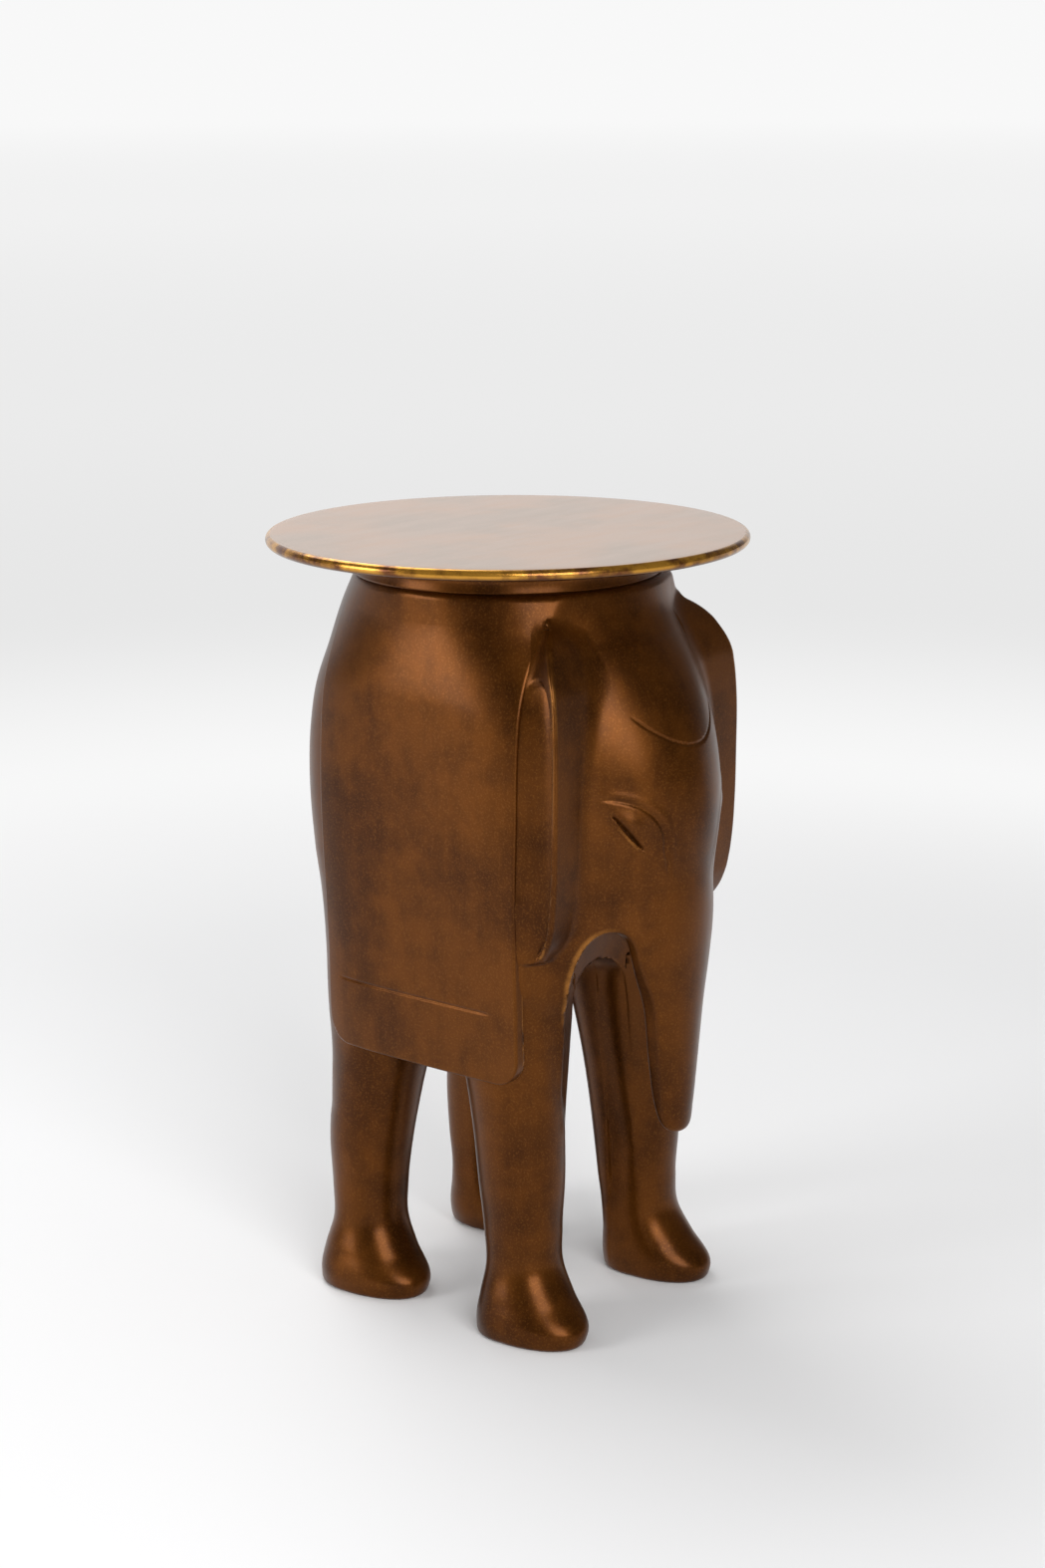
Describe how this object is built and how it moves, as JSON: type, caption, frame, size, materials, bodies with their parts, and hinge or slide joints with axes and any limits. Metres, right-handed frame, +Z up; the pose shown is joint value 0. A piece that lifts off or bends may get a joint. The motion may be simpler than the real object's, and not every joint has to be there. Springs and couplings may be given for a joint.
{
  "type": "elephant pedestal side table",
  "caption": "Cast metal side table or stool: a standing elephant with saddle cloths carries a thin round top on a waisted neck ring.",
  "frame": {"origin": "on the floor, straight below the centre of the round top", "axes": "+Z up; the elephant's face looks along -Y, and its right side is at -X"},
  "size_m": [0.3399, 0.3401, 0.56],
  "materials": {
    "cast_bronze": "mottled brown patina, waxed, satin",
    "hazed_top": "hazed glossy patina with fine scratches and a polished golden rim",
    "dowel_metal": "plain turned rod"
  },
  "bodies": {
    "root": {"table_top": "hazed_top", "neck_ring": "cast_bronze", "torso": "cast_bronze", "head": "cast_bronze", "trunk": "cast_bronze", "right_ear": "cast_bronze", "left_ear": "cast_bronze", "right_saddle_cloth": "cast_bronze", "left_saddle_cloth": "cast_bronze", "front_right_leg": "cast_bronze", "front_left_leg": "cast_bronze", "rear_right_leg": "cast_bronze", "rear_left_leg": "cast_bronze", "front_right_core_plug": "cast_bronze", "front_left_core_plug": "cast_bronze", "rear_right_core_plug": "cast_bronze", "rear_left_core_plug": "cast_bronze", "tail": "cast_bronze", "top_dowels": "dowel_metal", "ear_dowels": "dowel_metal", "trunk_dowels": "dowel_metal", "seam_dowels": "dowel_metal"}
  },
  "joints": []
}
